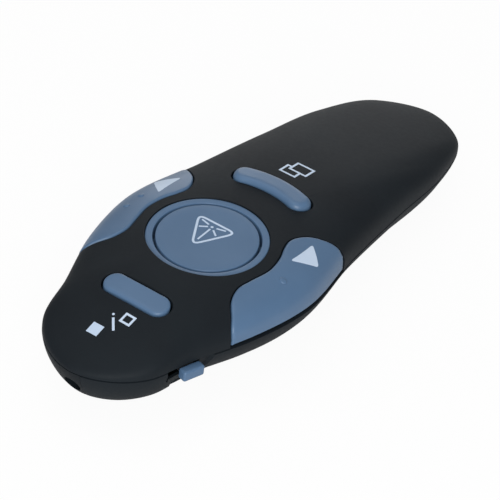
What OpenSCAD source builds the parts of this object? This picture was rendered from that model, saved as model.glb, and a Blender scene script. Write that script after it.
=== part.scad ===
// Wireless presentation clicker: a hand-held body with five buttons, a laser, a power switch,
// two AAA cells and a USB receiver stored in the belly.
// Modelled about the centre of the laser button, with the nose towards -Y and the seam at z = 0,
// then moved so that the origin lies under the middle of the body, on the surface it rests on.

/* [Body plan] */
// Reach from the laser button's centre to the tip of the nose
nose_reach = 37.2; // [36:0.1:38.4]
// Reach from the laser button's centre to the end of the handle
tail_reach = 75; // [73:0.5:79]
// Width just behind the tip of the nose
tip_w = 12.2; // [11:0.1:13]
// Width of the nose
nose_w = 22.3; // [21.6:0.1:23.5]
// Width of the neck between the nose and the page buttons
neck_w = 27.8; // [27:0.1:29]
// Width at the front of the page buttons
shoulder_w = 36.1; // [35.4:0.1:37]
// Greatest width, beside the laser button
hip_w = 40.6; // [40:0.1:42]
// Width behind the page buttons
saddle_w = 35.2; // [34.4:0.1:36.5]
// Width of the middle of the handle
grip_w = 31.2; // [30.4:0.1:32.5]
// Width near the end of the handle
heel_w = 27.8; // [27:0.1:29]
// Width of the rounded end of the handle
tail_w = 18.6; // [17.6:0.1:20]

/* [Body height] */
// Rise of the top over the seam at the nose
rise_nose = 1.75; // [1.4:0.05:2.2]
// Rise of the top over the seam at the front button
rise_front = 5.9; // [5.8:0.05:6.2]
// Rise of the top over the seam at the laser button
rise_ring = 7.4; // [7.2:0.05:7.8]
// Rise of the top over the seam behind the curved button
rise_back = 7.6; // [7.4:0.05:8]
// Rise of the top over the seam in the handle
rise_grip = 6; // [5.8:0.05:6.4]
// Rise of the top over the seam at the end of the handle
rise_tail = 4.3; // [4:0.05:4.8]
// Depth of the belly curve under the nose
drop_nose = 23.1; // [22.5:0.1:24]
// Depth of the belly curve under the neck
drop_front = 14.2; // [14:0.1:14.8]
// Depth of the belly curve under the laser button
drop_ring = 13.4; // [13:0.1:13.8]
// Depth of the belly curve under the front of the cells
drop_back = 12.6; // [12.5:0.1:13.2]
// Depth of the belly curve under the back of the cells
drop_grip = 14.2; // [14:0.1:15]
// Depth of the belly curve under the end of the handle
drop_tail = 23; // [22:0.5:24]
// Depth of the flat belly under the seam
belly = 11.4; // [11.3:0.05:11.6]
// How far the seam bows down, in mm at 100 mm from the laser button
seam_bow = 7; // [6:0.1:8]
// Wall of both housings
wall = 1.5; // [1.4:0.05:1.6]

/* [Buttons] */
// Travel of every button
travel = 0.3; // [0.2:0.05:0.35]
// Gap round every button
button_gap = 0.2; // [0.15:0.05:0.25]
// Outer radius of the fixed ring round the laser button
ring_r = 10.7; // [10.5:0.05:10.9]
// Radius of the laser button
disc_r = 9.2; // [9:0.05:9.4]
// Height of the ring's top over the seam
ring_z = 6.7; // [6.6:0.05:6.8]
// Rise of the ring towards the handle, in degrees
ring_tilt = 3.6; // [3:0.1:4]
// Height of the ring
ring_h = 2.6; // [2.5:0.05:2.7]
// Distance from the laser button's centre to the front button's centre
screen_y = 19.8; // [19.6:0.1:20]
// Length of the front button
screen_l = 13.2; // [12.8:0.1:13.4]
// Width of the front button
screen_w = 4.2; // [4.1:0.05:4.4]
// Inner radius of the curved button, about the laser button
window_r = 17.4; // [17.3:0.05:17.5]
// Width of the curved button
window_w = 4.8; // [4.6:0.05:4.9]
// Half angle of the curved button
window_angle = 23.2; // [22.4:0.1:23.9]
// Corner radius of the curved button
window_corner = 2.2; // [2:0.05:2.25]
// Height of the curved button's top over the seam
window_top = 8.3; // [8.2:0.05:8.4]
// Distance from the laser button's centre to a page button's hollow edge
wing_r = 13.3; // [13.2:0.05:13.5]
// Gap between a page button's lower edge and the seam
wing_lift = 0.7; // [0.65:0.05:0.9]

/* [Battery bay] */
// Diameter of an AAA cell
cell_d = 10.5; // [10.3:0.1:10.5]
// Length of an AAA cell
cell_l = 44.5; // [43.5:0.1:44.5]
// Depth of the cells' axes under the seam
cell_z = 4.3; // [4.25:0.05:4.35]
// Gap between the two cells
cell_gap = 0.4; // [0.3:0.05:0.5]
// Front wall of the bay behind the laser button's centre
bay_y = 3.6; // [3.5:0.1:3.8]
// Room left for a spring at the end of each cell
spring_room = 3.4; // [3.3:0.05:3.8]
// Half width of the bay
bay_w = 11; // [10.95:0.05:11.1]
// Thickness of the bay's walls
bay_wall = 1.1; // [1:0.05:1.2]
// Thickness of the battery door
door_t = 1.3; // [1.2:0.05:1.4]
// Gap round the battery door
door_gap = 0.2; // [0.15:0.05:0.25]

/* [Receiver] */
// Width of the receiver's case
case_w = 14.4; // [14:0.1:14.6]
// Length of the receiver's case
case_l = 6.2; // [6:0.1:6.4]
// Thickness of the receiver's case
case_h = 5.4; // [5.2:0.1:5.4]
// Length of the plug
plug_l = 12.3; // [12:0.1:12.4]
// Gap round the stored receiver
receiver_gap = 0.3; // [0.2:0.05:0.35]

/* [Electronics] */
// Height of the circuit board's underside over the seam
board_z = 1.25; // [1.2:0.05:1.3]
// Thickness of the circuit board
board_t = 0.8; // [0.75:0.05:0.85]
// Radius of the laser barrel
laser_r = 2.8; // [2.7:0.05:2.9]
// Depth of the laser's axis under the seam
laser_z = 4.4; // [4.3:0.05:4.5]
// Travel of the power switch
switch_travel = 2.2; // [2:0.1:2.4]
// Length of the power switch cap
cap_l = 4.3; // [4.1:0.1:4.5]

/* [Hidden] */
$fn = 48;

soft_black = "#2f3438";
slate_blue = "#5f7a98";
metal = "#c8c8c4";
gold = "#c9a24a";

// Place of the neck, which the switch, the front screws and the front of the board follow
neck_y = 15.3 - nose_reach;

// The outline's stations, from the nose along the +X side to the end of the handle
half_plan = [
    [0, -nose_reach],
    [tip_w / 2, 1.9 - nose_reach],
    [nose_w / 2, 6.65 - nose_reach],
    [neck_w / 2, neck_y],
    [shoulder_w / 2, -10.5],
    [hip_w / 2, 2.7],
    [saddle_w / 2, 20.8],
    [grip_w / 2, 40],
    [heel_w / 2, tail_reach - 17.9],
    [tail_w / 2, tail_reach - 5],
    [0, tail_reach]];
rise_knots = [[-4 - nose_reach, rise_nose], [-21.6, rise_front], [0, rise_ring], [27, rise_back],
    [54, rise_grip], [tail_reach + 0.6, rise_tail]];
drop_knots = [[-nose_reach, drop_nose], [-21.6, drop_front], [0, drop_ring], [21.6, drop_back],
    [48.6, drop_grip], [tail_reach, drop_tail]];
plan_knots = concat(half_plan, [for (i = [len(half_plan) - 2:-1:1]) [-half_plan[i].x, half_plan[i].y]]);
plan_steps = 5;
top_round = [2.42, 1 / 3.57];
belly_round = [2, 1 / 1.5];
middle_y = (tail_reach - nose_reach) / 2;

// Heights in the stack of parts under the buttons
board_top = board_z + board_t;
tact_w = 4;
tact_h = 1.4;
plunger_r = 0.9;
plunger_rise = travel + 0.05;
plunger_foot = 0.9;
plunger_fit = 0.05;
plunger_top = board_top + tact_h + plunger_rise;
stem_z = plunger_top + 0.05;
wing_stem = [14.3, 2];
stem_w = 2;
window_mid_r = window_r + window_w / 2;
cell_x = (cell_d + cell_gap) / 2;
plate_t = 0.3;
bay_l = cell_l + spring_room + 2 * plate_t;
bay_end = bay_y + bay_l;
tab_w = 5;
bay_floor = 5.4;
receiver_w = case_w + 2 * receiver_gap;
receiver_l = case_l + plug_l + 2 * receiver_gap;
receiver_y1 = bay_y - bay_wall - 0.4;
receiver_y0 = receiver_y1 - receiver_l;
case_z = bay_floor + 0.1;
scoop_r = 4.4;
scoop_depth = 0.9;
far = 60;

// Screws: plan place and depth of the head's seat
screw_r = 0.8;
screw_head_r = 1.7;
screw_head_h = 1.2;
screw_l = 6.5;
front_screw_y = neck_y + 6.4;
back_screw_y = bay_end + bay_wall + 5.3;
case_screw_places = [[11.5, front_screw_y, -3.6], [-11.5, front_screw_y, -3.6],
    [7.8, back_screw_y, -7.1], [-7.8, back_screw_y, -7.1]];
board_screw_y = neck_y + 12.5;
board_screw_places = [[9.9, board_screw_y], [-9.9, board_screw_y], [10.7, 22.6], [-10.7, 22.6]];
board_screw_l = 2.4;
post_r = 2.3;
board_post_r = 1.6;

// Laser module: barrel behind the aperture, on two ribs
barrel_y = 5 - nose_reach;
barrel_l = 11;
rib_t = 1.2;
rib_places = [barrel_y + 2.3, barrel_y + 8.3];

// Power switch: drawn from where the middle of the cap crosses the outline, with X out through the
// wall. The cap rests at the back of its slot and stands proud of the neck.
cap_y = neck_y - 0.35;
cap_turn = 16;
cap_z = -1.72;
cap_h = 2.05;
cap_gap = 0.2;
cap_root = -0.4;
cap_proud = 1.45;
can = [3.8, 8.2, board_z + 3.5];
can_face = -3.7;
can_back = 2.6;
flange = [0.5, 6.4, 2.7];
flange_x = -3.2;
board_front = neck_y - 2.3;
recess = 0.6;
recess_half = 4.6;
recess_reach = 4.5;

// Nose panel round the laser aperture
nose_lean = 18;
panel_w = 4.2;
panel_depth = 1.8;
panel_low = 1.8;
panel_h = 5.6;
aperture_r = 1.6;

// ---- curves ----

// Cubic through a and b with end slopes ma and mb
function cubic(a, b, ma, mb, t) = (2 * t ^ 3 - 3 * t ^ 2 + 1) * a + (t ^ 3 - 2 * t ^ 2 + t) * ma
    + (3 * t ^ 2 - 2 * t ^ 3) * b + (t ^ 3 - t ^ 2) * mb;

// Slope at b between its neighbours a and c, at distances g and h
function mid_slope(a, b, c, g, h) = ((b - a) * h / g + (c - b) * g / h) / (g + h);

function stride(p, i) = let (n = len(p)) norm(p[(i + 1) % n] - p[i % n]) ^ 0.8;

function knot_slope(p, i) = let (n = len(p))
    mid_slope(p[(i + n - 1) % n], p[i % n], p[(i + 1) % n], stride(p, i + n - 1), stride(p, i));

// Smooth closed curve through the points p
function closed_curve(p, steps) = [for (i = [0:len(p) - 1], j = [0:steps - 1])
    cubic(p[i], p[(i + 1) % len(p)], knot_slope(p, i) * stride(p, i), knot_slope(p, i + 1) * stride(p, i),
        j / steps)];

// Smooth height through knots [y, height]
function height_slope(k, i) = let (n = len(k) - 1)
    i == 0 ? (k[1][1] - k[0][1]) / (k[1][0] - k[0][0])
    : i == n ? (k[n][1] - k[n - 1][1]) / (k[n][0] - k[n - 1][0])
    : mid_slope(k[i - 1][1], k[i][1], k[i + 1][1], k[i][0] - k[i - 1][0], k[i + 1][0] - k[i][0]);

function height(k, y, i = 0) = (i < len(k) - 2 && y > k[i + 1][0]) ? height(k, y, i + 1)
    : let (h = k[i + 1][0] - k[i][0], t = max(0, min(1, (y - k[i][0]) / h)))
    cubic(k[i][1], k[i + 1][1], height_slope(k, i) * h, height_slope(k, i + 1) * h, t);

function seam(y) = -seam_bow * (y / 100) ^ 2;

outline = closed_curve(plan_knots, plan_steps);

// Half width of the body at y
function half_width(y) = lookup(y, [for (q = outline) if (q.x > 0) [q.y, q.x]]);

// ---- helpers ----

module in_place() {
    translate([0, -middle_y, belly]) children();
}

// Half of the body, up from the seam for side = 1 and down for side = -1, drawn in by inset.
// Its open edge lies lip above the seam. Rings of the outline shrink towards the middle.
module half_body(side, inset, lip, rings) {
    knots = side > 0 ? rise_knots : drop_knots;
    round_by = side > 0 ? top_round : belly_round;
    n = len(outline);
    plan = [for (q = outline) q * (1 - inset / norm(q))];
    shares = [for (j = [0:rings - 1]) 1 - (j / rings) ^ 2.2];
    edge = [for (q = plan) [q.x, q.y, seam(q.y) + lip]];
    skin = [for (j = [1:rings - 1]) let (k = shares[j], up = (1 - k ^ round_by[0]) ^ round_by[1])
        for (q = plan) let (y = q.y * k) [q.x * k, y, seam(y) + side * (height(knots, y) - inset) * up]];
    peak = [0, 0, side * (height(knots, 0) - inset)];
    sides = [for (j = [0:rings - 2], i = [0:n - 1]) let (a = j * n + i, b = j * n + (i + 1) % n)
        each [[a, b + n, b], [a, a + n, b + n]]];
    cap = [for (i = [0:n - 1]) let (a = (rings - 1) * n) [a + i, rings * n, a + (i + 1) % n]];
    base = [for (i = [0:n / 2 - 1])
        i == 0 ? [0, 1, n - 1]
        : i == n / 2 - 1 ? [i, i + 1, n - i]
        : [i, i + 1, n - i - 1, n - i]];
    faces = concat(sides, cap, base);
    polyhedron(concat(edge, skin, [peak]),
        side > 0 ? faces : [for (f = faces) [for (v = [len(f) - 1:-1:0]) f[v]]]);
}

// Everything above the flat belly, lifted by up
module above_belly(up) {
    translate([-far, -far, up - belly]) cube([2 * far, 3 * far, belly + far]);
}

// Upright slab with round ends, length along X
module stadium(l, w, h) {
    for (x = [w - l, l - w] / 2) translate([x, 0, 0]) cylinder(d = w, h = h);
    translate([(w - l) / 2, -w / 2, 0]) cube([l - w, w, h]);
}

// Upright block with rounded corners between the corners a and b
module rounded_block(a, b, r, h) {
    translate([a.x + r, a.y, 0]) cube([b.x - a.x - 2 * r, b.y - a.y, h]);
    translate([a.x, a.y + r, 0]) cube([b.x - a.x, b.y - a.y - 2 * r, h]);
    for (x = [a.x + r, b.x - r], y = [a.y + r, b.y - r]) translate([x, y, 0]) cylinder(r = r, h = h);
}

// Part of an upright tube between the radii r0 and r1, over +-angle about +Y
module tube_part(r0, r1, angle, h) {
    rotate([0, 0, 90 - angle]) rotate_extrude(angle = 2 * angle) translate([r0, 0]) square([r1 - r0, h]);
}

// The curved button's plan, grown by g all round
module window_plan(g, h) {
    r0 = window_r - g;
    r1 = window_r + window_w + g;
    c = window_corner + g;
    reach = window_angle + g / window_mid_r * 180 / PI;
    inner_turn = c / (r0 + c) * 180 / PI;
    outer_turn = c / (r1 - c) * 180 / PI;
    tube_part(r0 + c, r1 - c, reach, h);
    tube_part(r0, r1, reach - inner_turn, h);
    for (s = [-1, 1]) {
        rotate([0, 0, 90 + s * (reach - inner_turn)]) translate([r0 + c, 0, 0]) cylinder(r = c, h = h);
        rotate([0, 0, 90 + s * (reach - outer_turn)]) translate([r1 - c, 0, 0]) cylinder(r = c, h = h);
    }
}

// Everything under a crowned top through [0, y, z], sloping up towards +Y by tilt
module under_crown(y, z, tilt, crown_r) {
    translate([0, y, z]) rotate([tilt, 0, 0]) translate([0, far, -crown_r]) rotate([90, 0, 0])
        cylinder(r = crown_r, h = 2 * far, $fn = 360);
}

// Places what is drawn flat at the laser button's tilted top
module at_ring() {
    translate([0, 0, ring_z]) rotate([ring_tilt, 0, 0]) children();
}

// Inner edge of a page button: a hollow about the laser button, between two rounded corners
wing_knots = [[24, -16.4], [16.4, -14.6], [14.9, -13], [12.75, -10.4], [12, -7.5],
    [wing_r * cos(-19), wing_r * sin(-19)], [wing_r, 0], [wing_r * cos(18), wing_r * sin(18)],
    [11.75, 6.4], [11.2, 9], [12.4, 12.2], [14.8, 14.6], [17.3, 16.2], [24, 17]];

function open_slope(p, i) = i == 0 ? (p[1] - p[0]) / stride(p, 0)
    : i == len(p) - 1 ? (p[i] - p[i - 1]) / stride(p, i - 1)
    : mid_slope(p[i - 1], p[i], p[i + 1], stride(p, i - 1), stride(p, i));

function open_curve(p, steps) = [for (i = [0:len(p) - 2], j = [0:steps - 1])
    cubic(p[i], p[i + 1], open_slope(p, i) * stride(p, i), open_slope(p, i + 1) * stride(p, i), j / steps),
    p[len(p) - 1]];

// The path moved sideways by d, to its left for d > 0
function beside(p, d) = [for (i = [0:len(p) - 1])
    let (a = p[max(i - 1, 0)], b = p[min(i + 1, len(p) - 1)], u = (b - a) / norm(b - a))
    p[i] + d * [-u.y, u.x]];

module wing_block(grow, h) {
    linear_extrude(height = h) polygon(beside(open_curve(wing_knots, 5), grow));
}

module on_both_sides() {
    children();
    mirror([1, 0, 0]) children();
}

// ---- housings ----

module top_posts() {
    for (s = case_screw_places) translate([s.x, s.y, -far / 2]) cylinder(r = post_r, h = far);
    for (s = board_screw_places) translate([s.x, s.y, board_top]) cylinder(r = board_post_r, h = far);
}

module top_shell() {
    color(soft_black) in_place() difference() {
        half_body(1, 0, 0, 12);
        difference() {
            half_body(1, wall, -1, 8);
            top_posts();
        }
        for (s = case_screw_places) translate([s.x, s.y, s.z]) cylinder(r = screw_r, h = screw_l + 0.2);
        for (s = board_screw_places) translate([s.x, s.y, 0])
            cylinder(r = screw_r, h = board_z + board_screw_l + 0.2);
        at_ring() translate([0, 0, -far / 2]) cylinder(r = ring_r + 0.05, h = far);
        translate([0, -screen_y, 0]) stadium(screen_l + 2 * button_gap, screen_w + 2 * button_gap, far);
        window_plan(button_gap, far);
        on_both_sides() translate([0, 0, -far / 2]) wing_block(button_gap, far);
    }
}

// Walls that stand on the inside of the lower housing
module bottom_walls() {
    side = bay_w + bay_wall;
    for (y = [bay_y - bay_wall, bay_end]) translate([-side, y, -far]) cube([2 * side, bay_wall, far]);
    for (x = [-side, bay_w]) translate([x, bay_y, -far]) cube([bay_wall, bay_l, far]);
    translate([-receiver_w / 2 - bay_wall, receiver_y0 - bay_wall, -far])
        cube([receiver_w + 2 * bay_wall, bay_y - receiver_y0, far - bay_floor + bay_wall]);
    for (s = case_screw_places) translate([s.x, s.y, -far]) cylinder(r = post_r + 0.3, h = far);
    for (y = rib_places) translate([-laser_r - 1, y, -far]) cube([2 * laser_r + 2, rib_t, far - laser_z]);
}

module cell_room() {
    for (x = [-cell_x, cell_x]) translate([x, bay_y, -cell_z]) rotate([-90, 0, 0])
        cylinder(d = cell_d + 0.6, h = bay_l);
}

module bottom_shell() {
    color(soft_black) in_place() difference() {
        intersection() {
            half_body(-1, 0, 0, 12);
            above_belly(0);
        }
        difference() {
            intersection() {
                half_body(-1, wall, 1, 8);
                above_belly(wall);
            }
            bottom_walls();
        }
        translate([0, 0, -far]) rounded_block([-bay_w, bay_y], [bay_w, bay_end], 1 + door_gap, far - cell_z);
        translate([-bay_w, bay_y, -belly + door_t + 0.8]) cube([2 * bay_w, bay_l, belly]);
        translate([-tab_w / 2 - 0.3, bay_y - bay_wall - 0.2, -belly + door_t])
            cube([tab_w + 0.6, bay_wall + 1, 1.7]);
        translate([-receiver_w / 2, receiver_y0, -far]) cube([receiver_w, receiver_l, far - bay_floor]);
        translate([0, receiver_y1 - case_l / 2, -belly - scoop_r + scoop_depth]) rotate([0, 90, 0])
            cylinder(r = scoop_r, h = receiver_w + 5, center = true);
        laser_bore(8);
        translate([0, barrel_y - 0.2, -laser_z]) rotate([-90, 0, 0]) cylinder(r = laser_r + 0.05, h = 30);
        nose_panel_block(0.05);
        switch_slot();
        switch_recess();
        for (s = case_screw_places) translate([s.x, s.y, 0]) {
            translate([0, 0, -far]) cylinder(r = screw_r + 0.2, h = far + 1);
            translate([0, 0, s.z - far]) cylinder(r = screw_head_r + 0.15, h = far);
        }
        translate([0, bay_end + 2, -belly - scoop_r + scoop_depth]) sphere(r = scoop_r);
    }
}

// Leaning block that holds the nose panel, grown by grow all round
module nose_panel_block(grow) {
    translate([0, -nose_reach, -laser_z]) rotate([nose_lean, 0, 0])
        translate([-panel_w / 2 - grow, -3, -panel_low - grow])
        cube([panel_w + 2 * grow, 3 + panel_depth + grow, panel_h + 2 * grow]);
}

module laser_bore(h) {
    translate([0, -nose_reach - 1, -laser_z]) rotate([-90, 0, 0]) cylinder(r = aperture_r, h = h);
}

module nose_panel() {
    color("#22262b") in_place() difference() {
        intersection() {
            half_body(-1, 0, 0, 10);
            nose_panel_block(0);
        }
        laser_bore(8);
    }
}

// ---- buttons ----

module ring_frame() {
    c = 0.35;
    color(slate_blue) in_place() at_ring() rotate_extrude($fn = 96) polygon([
        [disc_r + 0.1, -ring_h], [ring_r, -ring_h], [ring_r, -c], [ring_r - c, 0],
        [disc_r + 0.1 + c / 2, 0], [disc_r + 0.1, -c / 2]]);
}

// A dished cap with a skirt, a stop flange under the ring and a stem over its plunger
module laser_button() {
    skin = 1.3;
    flange = 0.6;
    skirt = disc_r - 1;
    low = ring_h + 0.1;
    color(slate_blue) in_place() {
        at_ring() rotate_extrude($fn = 96) polygon([
            [0, -skin], [skirt, -skin], [skirt, -low - flange], [disc_r + 0.9, -low - flange],
            [disc_r + 0.9, -low], [disc_r, -low], [disc_r, -0.3], [disc_r - 0.3, 0], [0, 0]]);
        translate([0, 0, stem_z]) cylinder(r = 1.5, h = ring_z - skin / 2 - stem_z);
    }
}

module page_button() {
    difference() {
        intersection() {
            half_body(1, 0, wing_lift, 12);
            wing_block(0, far);
        }
        half_body(1, wall, -1, 8);
    }
    translate([wing_stem.x - stem_w / 2, wing_stem.y - stem_w / 2, stem_z]) cube([stem_w, stem_w, 1.7]);
}

module left_page_button() {
    color(slate_blue) in_place() page_button();
}

module right_page_button() {
    color(slate_blue) in_place() mirror([1, 0, 0]) page_button();
}

module screen_button() {
    ear = 0.8;
    ear_w = 1.8;
    foot_z = 2.75;
    color(slate_blue) in_place() translate([0, -screen_y, 0]) {
        intersection() {
            translate([0, 0, stem_z]) stadium(screen_l, screen_w, far);
            under_crown(0, 5.8, 11.3, 93);
        }
        for (s = [0, 180]) rotate([0, 0, s]) {
            translate([tact_w / 2 + 1, -1.4, foot_z])
                cube([screen_l / 2 - tact_w / 2 - 1.4, 2.8, stem_z - foot_z]);
            translate([screen_l / 2 - 1, -ear_w / 2, foot_z]) cube([1 + ear, ear_w, 0.6]);
        }
    }
}

module window_button() {
    color(slate_blue) in_place() {
        intersection() {
            translate([0, 0, stem_z]) window_plan(0, far);
            under_crown(window_mid_r, window_top, -2.6, 90);
        }
        translate([0, 0, 4.4]) window_plan(0.8, 0.8);
    }
}

// ---- battery bay ----

module battery_door() {
    a = [-bay_w + door_gap, bay_y + door_gap];
    b = [bay_w - door_gap, bay_end - door_gap];
    color(soft_black) in_place() {
        difference() {
            intersection() {
                half_body(-1, 0, 0, 12);
                above_belly(0);
                translate([0, 0, -far]) rounded_block(a, b, 1, far);
            }
            intersection() {
                half_body(-1, door_t, 1, 8);
                above_belly(door_t);
            }
            cell_room();
        }
        translate([-tab_w / 2, bay_y - bay_wall + 0.1, -belly + door_t + 0.1])
            cube([tab_w, bay_wall + 1, 0.9]);
        translate([-tab_w / 2, bay_y + door_gap, -belly + door_t - 0.2]) cube([tab_w, 1, 1.2]);
        translate([-tab_w / 2, b.y - 1, -belly + door_t - 0.2]) cube([tab_w, 1, 1.4]);
    }
}

// An AAA cell whose positive end points to +Y for turn = 0
module cell(turn) {
    rotate([0, 0, turn]) rotate([-90, 0, 0]) translate([0, 0, -cell_l / 2]) {
        translate([0, 0, 0.2]) cylinder(d = cell_d, h = cell_l - 1.4);
        cylinder(d = cell_d - 2, h = 1);
        translate([0, 0, cell_l - 2]) cylinder(d = 3.8, h = 2);
    }
}

module left_cell() {
    color("#3a6ea5") in_place() translate([cell_x, bay_end - plate_t - cell_l / 2, -cell_z]) cell(0);
}

module right_cell() {
    color("#3a6ea5") in_place() translate([-cell_x, bay_y + plate_t + cell_l / 2, -cell_z]) cell(180);
}

// Coil spring along +Z: a round wire swept up a helix that narrows
module coil(r0, r1, l, turns, wire) {
    steps = 14;
    sides = 6;
    n = steps * turns;
    points = [for (i = [0:n])
        let (a = 360 * i / steps, r = r0 + (r1 - r0) * i / n, z = wire + (l - 2 * wire) * i / n)
        for (k = [0:sides - 1]) let (b = 360 * k / sides)
            [(r + wire * cos(b)) * cos(a), (r + wire * cos(b)) * sin(a), z + wire * sin(b)]];
    faces = [for (i = [0:n - 1], k = [0:sides - 1]) let (a = i * sides + k, b = i * sides + (k + 1) % sides)
        each [[a, b, b + sides], [a, b + sides, a + sides]]];
    ends = [[for (k = [sides - 1:-1:0]) k], [for (k = [0:sides - 1]) n * sides + k]];
    polyhedron(points, concat(faces, ends));
}

module battery_springs() {
    color(metal) in_place() {
        translate([cell_x, bay_y + plate_t, -cell_z]) rotate([-90, 0, 0]) coil(3.4, 2, spring_room, 4, 0.3);
        translate([-cell_x, bay_end - plate_t, -cell_z]) rotate([90, 0, 0]) coil(3.4, 2, spring_room, 4, 0.3);
    }
}

// Flat plate on the bay's front wall, with a tail that reaches up to the circuit board
module front_plate(x) {
    translate([x - 4, bay_y, -cell_z - 3.6]) cube([8, plate_t, 7.2]);
    translate([x - 1, bay_y, -cell_z]) cube([2, plate_t, cell_z + board_z]);
}

module negative_contact() {
    color(metal) in_place() front_plate(cell_x);
}

module positive_contact() {
    color(metal) in_place() front_plate(-cell_x);
}

module bridge_contact() {
    color(metal) in_place() translate([-cell_x - 4, bay_end - plate_t, -cell_z - 3])
        cube([2 * cell_x + 8, plate_t, 6]);
}

// ---- electronics ----

half_board = [[8, board_front], [8, neck_y + 9.7], [13.4, neck_y + 10.9], [16, -4], [16.4, 3],
    [15.6, 10], [13.6, 18], [13, 25.6]];

module circuit_board() {
    other_half = [for (i = [len(half_board) - 1:-1:0]) [-half_board[i].x, half_board[i].y]];
    color("#1f5b3a") in_place() difference() {
        translate([0, 0, board_z]) linear_extrude(height = board_t) polygon(concat(half_board, other_half));
        for (s = board_screw_places) translate([s.x, s.y, 0]) cylinder(r = screw_r + 0.15, h = far);
    }
}

tact_places = [[0, 0], [0, -screen_y], [0, window_mid_r], wing_stem, [-wing_stem.x, wing_stem.y]];

module tact_housings() {
    color("#2b2b2b") in_place() for (p = tact_places) translate([p.x, p.y, board_top]) difference() {
        translate([-tact_w / 2, -tact_w / 2, 0]) cube([tact_w, tact_w, tact_h]);
        translate([0, 0, plunger_foot - travel - 0.1]) cylinder(r = plunger_r + plunger_fit, h = tact_h);
    }
}

module plunger(p) {
    color("#d8d2c4") in_place() translate([p.x, p.y, board_top + plunger_foot])
        cylinder(r = plunger_r, h = tact_h + plunger_rise - plunger_foot);
}

module laser_plunger() {
    plunger(tact_places[0]);
}

module screen_plunger() {
    plunger(tact_places[1]);
}

module window_plunger() {
    plunger(tact_places[2]);
}

module left_plunger() {
    plunger(tact_places[3]);
}

module right_plunger() {
    plunger(tact_places[4]);
}

module control_chip() {
    color("#1c1c1e") in_place() translate([-2.5, 8, board_top]) cube([5, 5, 0.9]);
}

module clock_crystal() {
    color(metal) in_place() translate([-8, 9, board_top]) cube([3.2, 2.5, 0.7]);
}

// Printed aerial: one folded strip
module antenna_trace() {
    strip = 0.5;
    pitch = 1.2;
    reach = 4;
    color(gold) in_place() translate([-7.7, board_front + 0.3, board_top]) {
        for (i = [0:4]) translate([i * pitch, 0, 0]) cube([strip, reach, 0.05]);
        for (i = [0:3]) translate([i * pitch, i % 2 == 0 ? reach - strip : 0, 0])
            cube([pitch + strip, strip, 0.05]);
    }
}

module laser_barrel() {
    color("#b08d3c") in_place() translate([0, barrel_y, -laser_z]) rotate([-90, 0, 0]) difference() {
        cylinder(r = laser_r, h = barrel_l);
        translate([0, 0, -1]) cylinder(r = 2.2, h = 3);
    }
}

module laser_lens() {
    color("#b03030") in_place() translate([0, barrel_y + 0.5, -laser_z]) rotate([-90, 0, 0])
        cylinder(r = 2.15, h = 1.3);
}

// Two leads from the back of the barrel, bent up to the board
module laser_leads() {
    wire = 0.3;
    bend = 1;
    back = barrel_y + barrel_l;
    color("#a03030") in_place() for (x = [-1.2, 1.2]) translate([x, back, -laser_z]) {
        rotate([-90, 0, 0]) cylinder(r = wire, h = 1);
        translate([0, 1, bend]) rotate([0, 90, 0]) rotate_extrude(angle = 90)
            translate([bend, 0]) circle(r = wire);
        translate([0, 1 + bend, bend]) cylinder(r = wire, h = board_z + laser_z - bend);
    }
}

// ---- power switch ----

module at_switch() {
    translate([half_width(cap_y), cap_y, 0]) rotate([0, 0, -cap_turn]) children();
}

// Slot for the cap, open to the seam
module switch_slot() {
    low = cap_z - cap_h / 2 - cap_gap;
    at_switch() translate([can_face, -cap_l / 2 - switch_travel - cap_gap, low])
        cube([10, cap_l + switch_travel + 2 * cap_gap, 1 - low]);
}

// Shallow recess round the slot, which follows the belly and ends in a point under it
module switch_recess() {
    out = 2.5;
    difference() {
        at_switch() translate([0, 0, -far]) linear_extrude(height = 2 * far)
            polygon([[out, -recess_half - out], [out, recess_half + out], [-recess_reach, 0]]);
        half_body(-1, recess, 1, 12);
    }
}

module switch_can() {
    window = 5;
    color(metal) in_place() at_switch() difference() {
        translate([can_face - can.x, can_back - can.y, board_z - can.z]) cube(can);
        translate([can_face - 1.5, -switch_travel - 1.4, cap_z - 0.9]) cube([3, window, 1.8]);
    }
}

// Arm out of the can to the cap, with a flange that closes the slot from inside
module switch_slider() {
    back = can_face - 1.3;
    color("#2b2b2b") in_place() at_switch() {
        translate([back, -1.2, cap_z - 0.75]) cube([cap_root - back, 2.4, 1.5]);
        translate([flange_x, -flange.y / 2, cap_z - flange.z / 2]) cube(flange);
    }
}

module switch_cap() {
    color(slate_blue) in_place() at_switch() translate([cap_root, 0, cap_z]) rotate([0, 90, 0])
        rounded_block([-cap_h / 2, -cap_l / 2], [cap_h / 2, cap_l / 2], 0.4, cap_proud - cap_root);
}

// ---- fasteners ----

module screw(l) {
    cylinder(r = screw_r, h = l);
    difference() {
        translate([0, 0, -screw_head_h]) cylinder(r = screw_head_r, h = screw_head_h);
        for (a = [0, 90]) rotate([0, 0, a]) translate([-1, -0.2, -screw_head_h - 0.1]) cube([2, 0.4, 0.7]);
    }
}

module case_screws() {
    color(metal) in_place() for (s = case_screw_places) translate([s.x, s.y, s.z]) screw(screw_l);
}

module board_screws() {
    color(metal) in_place() for (s = board_screw_places) translate([s.x, s.y, board_z]) screw(board_screw_l);
}

// ---- receiver ----

plug = [12, plug_l, 4.5];
plug_wall = 0.3;
plug_mid_z = -case_z - case_h / 2;
plug_floor_z = plug_mid_z - plug.z / 2 + plug_wall;
tongue_t = 1.8;
plug_back = receiver_y1 - receiver_gap - case_l;

module receiver_case() {
    color("#26292d") in_place() translate([-case_w / 2, plug_back, -case_z - case_h])
        cube([case_w, case_l, case_h]);
}

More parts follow.
